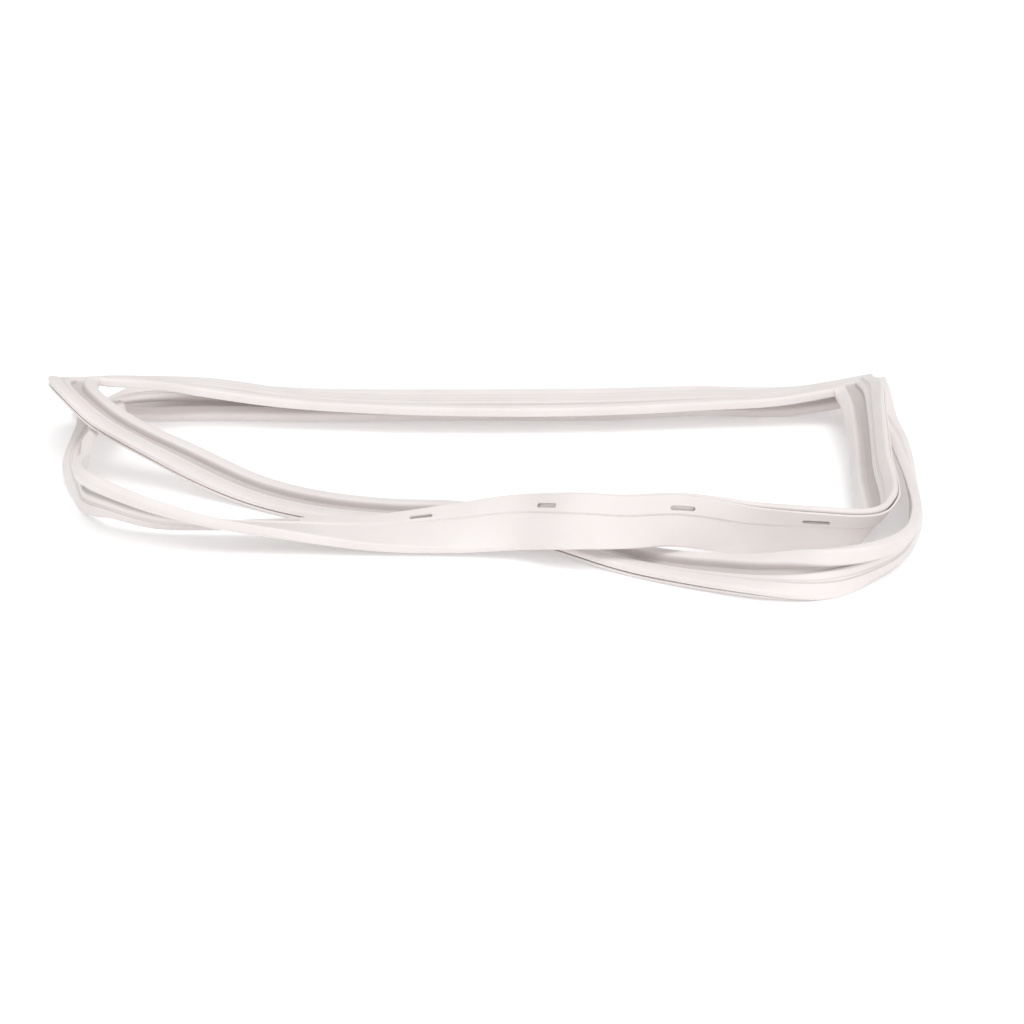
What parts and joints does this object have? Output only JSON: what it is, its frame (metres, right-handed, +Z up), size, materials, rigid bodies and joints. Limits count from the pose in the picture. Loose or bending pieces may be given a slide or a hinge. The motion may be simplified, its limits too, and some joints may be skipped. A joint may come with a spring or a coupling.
{
  "type": "refrigerator door gasket",
  "caption": "Flexible door seal: a slotted, magnet-filled vinyl profile welded into a mitred rectangle, stored coiled in two turns.",
  "frame": {"origin": "on the floor, under the middle of the coiled gasket's box", "axes": "+Z up, +X along the short sides at the back, +Y from the front strands towards the short sides"},
  "size_m": [0.756, 0.4802, 0.0747],
  "materials": {
    "vinyl": "satin, slightly warm off-white flexible vinyl",
    "magnet": "matt dark brown flexible magnet"
  },
  "bodies": {
    "root": {"gasket": "vinyl", "magnet_upper_back": "magnet", "magnet_inner_long": "magnet", "magnet_lower_back": "magnet", "magnet_outer_long": "magnet"}
  },
  "joints": []
}
